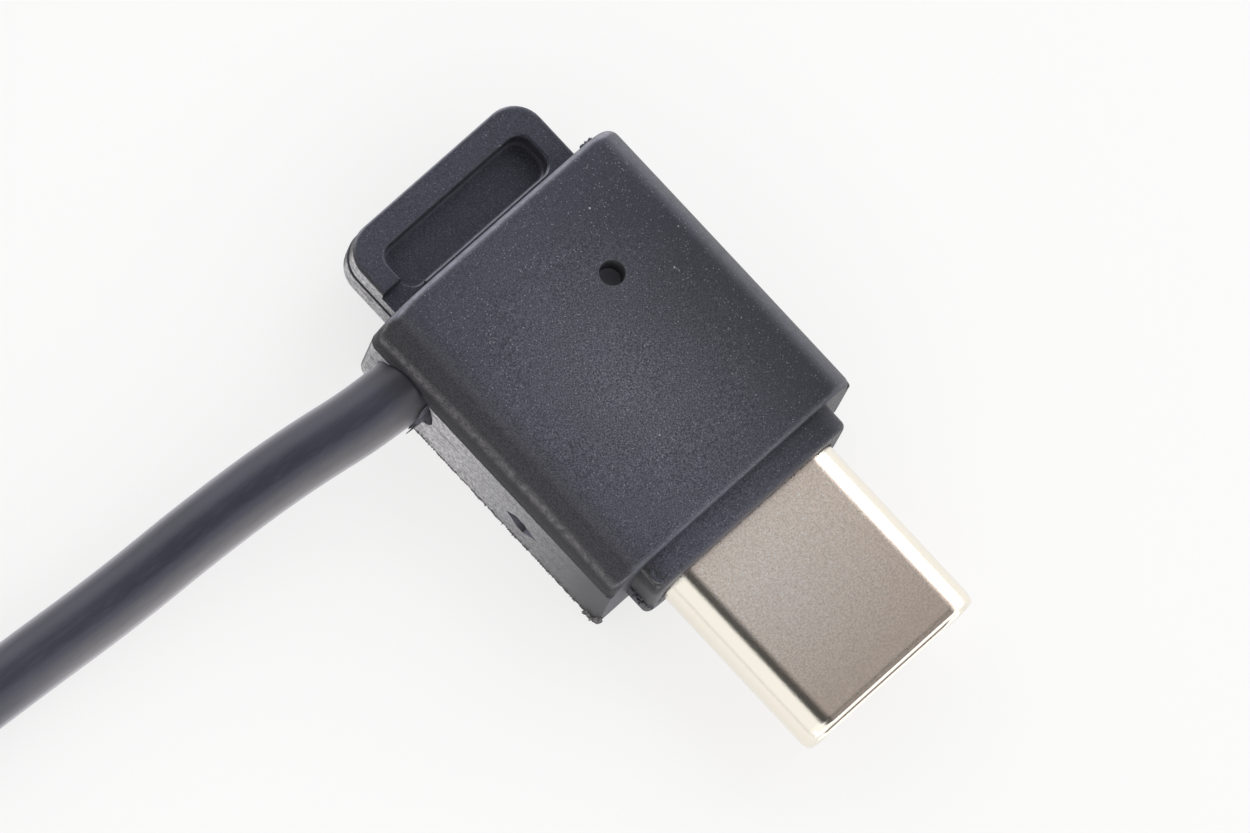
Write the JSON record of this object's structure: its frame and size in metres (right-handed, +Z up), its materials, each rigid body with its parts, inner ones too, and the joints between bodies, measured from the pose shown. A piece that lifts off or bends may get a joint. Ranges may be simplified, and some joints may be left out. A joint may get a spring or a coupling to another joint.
{
  "type": "usb-c to lightning cable",
  "caption": "Short round cable with a right-angle reversible plug in a plain moulded block with a recessed pull tab, and a slim reversible phone plug at the far end.",
  "frame": {"origin": "on the table, in the middle of the length and width of the USB-C head (block, collar, plug shell and pull tab)", "axes": "+Y from the USB-C plug's tip towards the pull tab, +Z up from the table, so the cable leaves the block towards -X"},
  "size_m": [0.0608, 0.055, 0.0052],
  "materials": {
    "moulding": "fine matt grain, charcoal",
    "jacket": "smooth satin, black",
    "tie": "satin, black",
    "shell_steel": "satin nickel plate",
    "tongue_steel": "satin nickel plate",
    "spring_steel": "bright rolled",
    "contact_gold": "gold plate",
    "insulator": "moulded, black",
    "board": "solder mask, green",
    "inner_mould": "moulded, natural",
    "chip_black": "moulded, black",
    "capacitor": "ceramic, tan",
    "core_red": "extruded, red",
    "core_white": "extruded, white",
    "core_black": "extruded, black",
    "core_green": "extruded, green"
  },
  "bodies": {
    "root": {"cable_coil": "jacket", "cable_lead": "jacket", "cable_tail": "jacket", "coil_tie": "tie", "phone_plug_black_core": "core_black", "phone_plug_board": "board", "phone_plug_chip": "chip_black", "phone_plug_green_core": "core_green", "phone_plug_grip": "moulding", "phone_plug_inner_mould": "inner_mould", "phone_plug_insert": "insulator", "phone_plug_lower_pad_1": "contact_gold", "phone_plug_lower_pad_2": "contact_gold", "phone_plug_lower_pad_3": "contact_gold", "phone_plug_lower_pad_4": "contact_gold", "phone_plug_lower_pad_5": "contact_gold", "phone_plug_lower_pad_6": "contact_gold", "phone_plug_lower_pad_7": "contact_gold", "phone_plug_lower_pad_8": "contact_gold", "phone_plug_red_core": "core_red", "phone_plug_tongue": "tongue_steel", "phone_plug_upper_pad_1": "contact_gold", "phone_plug_upper_pad_2": "contact_gold", "phone_plug_upper_pad_3": "contact_gold", "phone_plug_upper_pad_4": "contact_gold", "phone_plug_upper_pad_5": "contact_gold", "phone_plug_upper_pad_6": "contact_gold", "phone_plug_upper_pad_7": "contact_gold", "phone_plug_upper_pad_8": "contact_gold", "phone_plug_white_core": "core_white", "usb_c_black_core": "core_black", "usb_c_board": "board", "usb_c_capacitor": "capacitor", "usb_c_contact_a1": "contact_gold", "usb_c_contact_a12": "contact_gold", "usb_c_contact_a4": "contact_gold", "usb_c_contact_a5": "contact_gold", "usb_c_contact_a6": "contact_gold", "usb_c_contact_a7": "contact_gold", "usb_c_contact_a9": "contact_gold", "usb_c_contact_b1": "contact_gold", "usb_c_contact_b12": "contact_gold", "usb_c_contact_b4": "contact_gold", "usb_c_contact_b5": "contact_gold", "usb_c_contact_b9": "contact_gold", "usb_c_green_core": "core_green", "usb_c_inner_mould": "inner_mould", "usb_c_insulator": "insulator", "usb_c_latch_plate": "spring_steel", "usb_c_lower_ground_spring": "spring_steel", "usb_c_lower_wafer": "insulator", "usb_c_overmould": "moulding", "usb_c_plug_shell": "shell_steel", "usb_c_red_core": "core_red", "usb_c_resistor": "chip_black", "usb_c_upper_ground_spring": "spring_steel", "usb_c_upper_wafer": "insulator", "usb_c_white_core": "core_white"}
  },
  "joints": []
}
